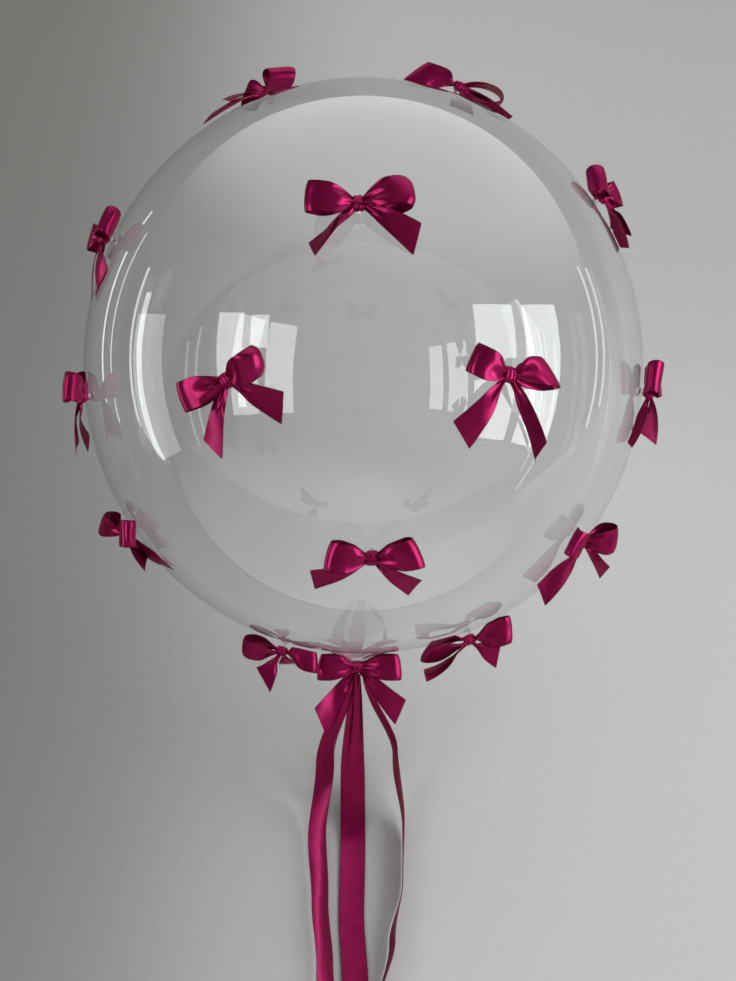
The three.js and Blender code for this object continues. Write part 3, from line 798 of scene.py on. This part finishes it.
def makeDot(name, point, normal, tall):
    # a set drop of glue: its profile turned round the film's normal, its outline a little uneven
    h, r = np.array(drop["levels"])[:, None], np.array(drop["widths"])[:, None]
    turn = np.linspace(0, 2 * math.pi, drop["sides"], endpoint=False)[None]
    three, five = drop["wobbles"]
    wobble = 1 + three * np.sin(3 * turn + 9 * point[0]) + five * np.sin(5 * turn + point[1])
    right = unit(np.cross(normal, np.array(drop["aside"])))
    other = np.cross(normal, right)
    radius = ribbon["dotRadius"] * r * wobble
    grid = point + normal * (drop["offFilm"] + h * (tall + ribbon["gap"]))[..., None]
    grid = grid + right * (radius * np.cos(turn))[..., None] + other * (radius * np.sin(turn))[..., None]
    uv = np.stack(np.broadcast_arrays(turn, h), -1)
    piece = makeMesh(name + "_blob", [closedTube(toWorld(grid), uv)], clearGlue)
    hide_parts(name)


for number, (name, made) in enumerate(bows.items()):
    tall = ribbon["tallDotHeight"] if made.get("tall") else ribbon["dotHeight"]
    point, normal = filmPlace(*made["place"])
    knot = point + normal * (2 * ribbon["gap"] + tall + ribbon["knot"][2] / 2)
    bow = knotFrame(knot, normal, made["loops"])
    seed = seeds["perBow"] * number + seeds["firstBow"]
    makeBow("bow_" + name + "_ribbon", bow, made["loops"], made["tails"], seed, "bow_" + name)
    makeDot("glue_dot_" + name, point, normal, tall)
print("bows ready")

# The bow at the neck and the three long tails below it
neckBow = {
    "overTie": 1,  # how far the knot's top covers the tie
    "loops": [
        {"reach": (-39, 0, 6), "across": (0.15, 0.99, 0), "gap": 7},
        {"reach": (43, 0, 6), "across": (-0.12, 0.99, 0), "gap": 7},
    ],
    "tails": [
        {"reach": (-37, -55, 6), "across": (0.79, -0.61, 0.2), "cut": 14},
        {"reach": (43, -45, 6), "across": (0.73, 0.69, 0.2), "cut": -11},
    ],
}
halfKnot = ribbon["knot"][1] / 2
neckLevel = -film["halfHeight"] - film["drop"] - ribbon["gap"] - halfKnot + neckBow["overTie"]
neckKnot = np.array([film["neckSide"], neckLevel, 0.0])
makeBow("neck_bow_ribbon", knotFrame(neckKnot, np.array([0.0, 0.0, 1.0]), neckBow["loops"]),
        neckBow["loops"], neckBow["tails"], seeds["neckBow"], "neck_bow")

longTails = {
    "tail_left": {"run": 330, "sway": [-9, -32, -40, -36, -30, -24], "turn": [20, 38, 45, 46, 47, 47],
                  "cup": 1.5, "cut": 14},
    "tail_middle": {"run": 350, "sway": [-1, -5, -5, -6, -2, 2], "turn": [25, 12, 0, 0, 0, 0],
                    "cup": 0.6, "cut": -16},
    "tail_right": {"run": 300, "sway": [8, 40, 48, 47, 36, 22], "turn": [60, 80, 86, 87, 80, 84],
                   "cup": 1.0, "cut": 10},
}
hanging = {
    "slopeRun": 140.0,  # from the knot to where the tails reach the floor
    "start": 1.0,
    "behind": 4.0,
    "floorLift": 0.4,
    "openAt": 85.0,
    "bend": 1.5,
    "ahead": 10.0,  # of its opening, where it leaves the knot
    "gathers": 1.4,
    "wave": 0.7,
    "waves": 11,  # radians over its length
    "wavesOut": 1.5,  # and from its middle to an edge
    "cuppedBy": 0.2,  # share of its length where its cup and waves are full
    "rows": 181,
}


def follow(values, share):
    # smooth steps between values at even shares
    values = np.array(values, float)
    last = len(values) - 1
    i = np.clip(np.floor(share * last).astype(int), 0, last - 1)
    return values[i] + (values[i + 1] - values[i]) * ease(share * last - i)


def makeLongTail(name, tail, seed):
    # along -Y from the knot: side offset from the sway, height falling by a smooth step to the floor, the
    # width turned from level to upright by the turn, lifted by cup * s^2 at its edges and by soft waves
    begin = neckKnot + np.array([0, -halfKnot - ribbon["gap"] - hanging["start"], -hanging["behind"]])
    start = toWorld(begin[None])[0] * 1000
    q, s = np.linspace(0, 1, hanging["rows"])[:, None], acrossSteps()[None]
    wide = opened(q * tail["run"] + hanging["ahead"], hanging["openAt"], hanging["bend"])
    angle = np.radians(follow(tail["turn"], q))
    share = q * (1 + s * tail["cut"] / 2 / tail["run"])
    fallen = 2 * ease((1 + np.clip(share * tail["run"] / hanging["slopeRun"], 0, 1)) / 2) - 1
    upright = np.sin(angle) * wide / 2
    floor = upright + hanging["floorLift"] + ribbon["bodyHalf"]
    z = start[2] + (floor - start[2]) * fallen + s * upright
    x = start[0] + follow(tail["sway"], share) + s * np.cos(angle) * wide / 2
    gathers = hanging["gathers"] * pleated(s[0], wide[:, 0], seed)
    wave = hanging["wave"] * (1 + np.sin(hanging["waves"] * q + hanging["wavesOut"] * s + seed))
    rolled = (tail["cup"] * s**2 + wave) * ease(q / hanging["cuppedBy"])
    x, z = x - (gathers + rolled) * np.sin(angle), z + (gathers + rolled) * np.cos(angle)
    grid = np.stack([x, start[1] - share * tail["run"], z], -1) * 0.001
    uv, end = lengthsUv(grid * 1000)
    sheet = thickSheet(grid, uv, ribbon["thickness"] * 0.001)
    piece = makeMesh(name + "_ribbon", [sheet], satinCloth)
    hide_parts(name)


for number, (name, tail) in enumerate(longTails.items()):
    makeLongTail(name, tail, seeds["tails"] + number)
print("neck bow and tails ready")

# Floor and light
studio = {
    # the floor's tone holds painted light and shade: darker towards the left, paler to the right and
    # brighter behind the balloon
    "floor": (0.352, 0.350, 0.344),
    "floorPaintedShade": (0.158, 0.154, 0.147),  # painted shade towards the left
    # metres to the right of the balloon, and the share of the paler tone there: painted light that grows
    # towards the right
    "floorPaintedLight": [(-0.42, 0.0), (-0.27, 0.25), (-0.16, 0.66), (-0.04, 0.94), (0.10, 1.0), (0.42, 0.66)],
    "sharesReach": 0.6,
    "paintedLightNear": 0.97,  # painted light: share of the tone beside and in front of the balloon
    "paintedLightFar": 1.2,  # and behind it, painted brighter
    "farStarts": 0.2,  # metres behind the balloon
    "farFull": 0.85,
    "floorHalf": 8.0,
    "floorRough": 0.85,
    "grainScale": 160,
    "grainDetail": 4,
    "grainDim": (0.88, 0.88, 0.88),
    "grainBump": 0.12,
    "grainDepth": 0.0006,
    "air": (0.19, 0.178, 0.16),
    "ceiling": (1.27, 1.30, 1.29),
    "ceilingLean": 0.2,  # how far the ceiling's glow leans to the right of the balloon's top
    "ceilingFrom": 0.45,  # cosine from its middle where the glow starts
    "ceilingTo": 0.88,
    "nearSide": (0.64, 0.60, 0.54),
    "nearFrom": 0.05,  # the same from straight below the balloon's neck
    "nearTo": 0.90,
    # right, up and front of the balloon's centre in metres, size, radiance, seen in gloss
    "lamps": {
        "leftPaneFar": ((-1.13, 0.0, 1.03), (0.27, 0.8), 4.5, True),
        "leftPaneNear": ((-0.915, 0.0, 1.24), (0.18, 0.76), 4.5, True),
        "rightPaneNear": ((0.66, -0.06, 0.67), (0.25, 0.68), 4.8, True),
        "rightPaneFar": ((0.84, -0.06, 0.42), (0.25, 0.68), 4.8, True),
        "leftGlow": ((-1.46, -0.12, 0.12), (0.42, 1.0), 1.7, True),
        "leftSlit": ((-1.40, -0.05, 0.02), (0.08, 1.1), 3.5, True),
        "leftSlitBehind": ((-1.42, 0.15, -0.12), (0.04, 1.0), 3.0, True),
        "leftStreak": ((-0.73, 0.20, -0.25), (0.022, 0.62), 2.0, True),
        "leftStreakNear": ((-0.82, 0.16, -0.18), (0.014, 0.66), 2.1, True),
        "rightSlit": ((0.98, 0.10, -0.02), (0.025, 0.7), 2.2, True),
        "rightSlitBehind": ((1.02, 0.15, -0.12), (0.03, 0.6), 1.6, True),
        "rightSide": ((1.35, 0.25, 0.42), (0.50, 2.6), 6.5, False),
        "foot": ((0.25, -1.05, 0.95), (1.4, 0.6), 4.6, False),
    },
    "lampTint": (0.95, 0.98, 1.0),
}


def makeFloor():
    half = studio["floorHalf"]
    corners = [(-half, -half, 0), (half, -half, 0), (half, half, 0), (-half, half, 0)]
    mesh = bpy.data.meshes.new("floor")
    mesh.from_pydata(corners, [], [(0, 1, 2, 3)])
    material, tree, shader = newMaterial("paleFloor")
    place = tree.nodes.new("ShaderNodeTexCoord")
    grain = tree.nodes.new("ShaderNodeTexNoise")
    grain.inputs["Scale"].default_value = studio["grainScale"]
    grain.inputs["Detail"].default_value = studio["grainDetail"]
    tree.links.new(place.outputs["Object"], grain.inputs["Vector"])
    split = tree.nodes.new("ShaderNodeSeparateXYZ")
    tree.links.new(place.outputs["Object"], split.inputs[0])
    # painted light and shade: the floor's tone goes from the painted shade on the left to the paler tone on
    # the right
    reach = studio["sharesReach"]
    towardsRight = rangeOf(tree, split.outputs["X"], 0, 1, -reach, reach)
    shares = tree.nodes.new("ShaderNodeValToRGB")
    ramp = shares.color_ramp
    ramp.interpolation = "B_SPLINE"
    for number, (right, share) in enumerate(studio["floorPaintedLight"]):
        position = (right / reach + 1) / 2
        stop = ramp.elements[number] if number < 2 else ramp.elements.new(position)
        stop.position = position
        stop.color = (share, share, share, 1)
    tree.links.new(towardsRight, shares.inputs["Fac"])
    tone = mixColours(tree, shares.outputs["Color"], studio["floorPaintedShade"], studio["floor"])
    # painted light: the tone is scaled brighter behind the balloon
    behind = rangeOf(tree, split.outputs["Y"], studio["paintedLightNear"], studio["paintedLightFar"],
                     studio["farStarts"], studio["farFull"], "SMOOTHSTEP")
    shade = tree.nodes.new("ShaderNodeVectorMath")
    shade.operation = "SCALE"
    tree.links.new(tone, shade.inputs[0])
    tree.links.new(behind, shade.inputs["Scale"])
    speckle = mixColours(tree, grain.outputs["Fac"], studio["grainDim"], (1.0, 1.0, 1.0))
    both = tree.nodes.new("ShaderNodeMix")
    both.data_type = "RGBA"
    both.blend_type = "MULTIPLY"
    both.inputs["Factor"].default_value = 1
    tree.links.new(shade.outputs["Vector"], both.inputs["A"])
    tree.links.new(speckle, both.inputs["B"])
    tree.links.new(both.outputs["Result"], shader.inputs["Base Color"])
    bump = tree.nodes.new("ShaderNodeBump")
    bump.inputs["Strength"].default_value = studio["grainBump"]
    bump.inputs["Distance"].default_value = studio["grainDepth"]
    tree.links.new(grain.outputs["Fac"], bump.inputs["Height"])
    tree.links.new(bump.outputs["Normal"], shader.inputs["Normal"])
    shader.inputs["Roughness"].default_value = studio["floorRough"]
    mesh.materials.append(material)
    floor = bpy.data.objects.new("floor", mesh)
    bpy.context.scene.collection.objects.link(floor)


def cosineTo(tree, way, direction):
    node = tree.nodes.new("ShaderNodeVectorMath")
    node.operation = "DOT_PRODUCT"
    node.inputs[1].default_value = direction.tolist()
    tree.links.new(way, node.inputs[0])
    return node.outputs["Value"]


def makeLights():
    # the air's colour, warmer below the neck and bright where the ceiling is
    world = bpy.data.worlds.new("studioAir")
    world.use_nodes = True
    tree = world.node_tree
    way = tree.nodes.new("ShaderNodeTexCoord").outputs["Generated"]
    balloonTop = turnOf(lying["pitch"])[:, 1]
    middle = unit(turnOf(lying["pitch"]) @ np.array([studio["ceilingLean"], 1, 0]))
    glow = rangeOf(tree, cosineTo(tree, way, middle), 0, 1,
                   studio["ceilingFrom"], studio["ceilingTo"], "SMOOTHSTEP")
    near = rangeOf(tree, cosineTo(tree, way, balloonTop), 0, 1,
                   -studio["nearFrom"], -studio["nearTo"], "SMOOTHSTEP")
    low = mixColours(tree, near, studio["air"], studio["nearSide"])
    sky = mixColours(tree, glow, low, studio["ceiling"])
    tree.links.new(sky, tree.nodes["Background"].inputs["Color"])
    bpy.context.scene.world = world
    centre = toWorld(np.zeros((1, 3)))[0]
    for name, (place, size, radiance, inGloss) in studio["lamps"].items():
        data = bpy.data.lights.new(name, "AREA")
        data.shape = "RECTANGLE"
        data.color = studio["lampTint"]
        data.size, data.size_y = size
        data.energy = radiance * math.pi * size[0] * size[1]
        light = bpy.data.objects.new(name, data)
        at = toWorld(np.array([place]) * 1000.0)[0]
        back = unit(at - centre)
        side = unit(np.cross(balloonTop, back))
        turn = np.stack([side, np.cross(back, side), back], axis=1)
        light.matrix_world = Matrix.Translation(at.tolist()) @ Matrix(turn.tolist()).to_4x4()
        light.visible_camera = False
        light.visible_glossy = inGloss
        light.visible_transmission = inGloss
        bpy.context.scene.collection.objects.link(light)


makeFloor()
makeLights()
bpy.context.scene.view_settings.view_transform = "Standard"
print("floor and light ready")
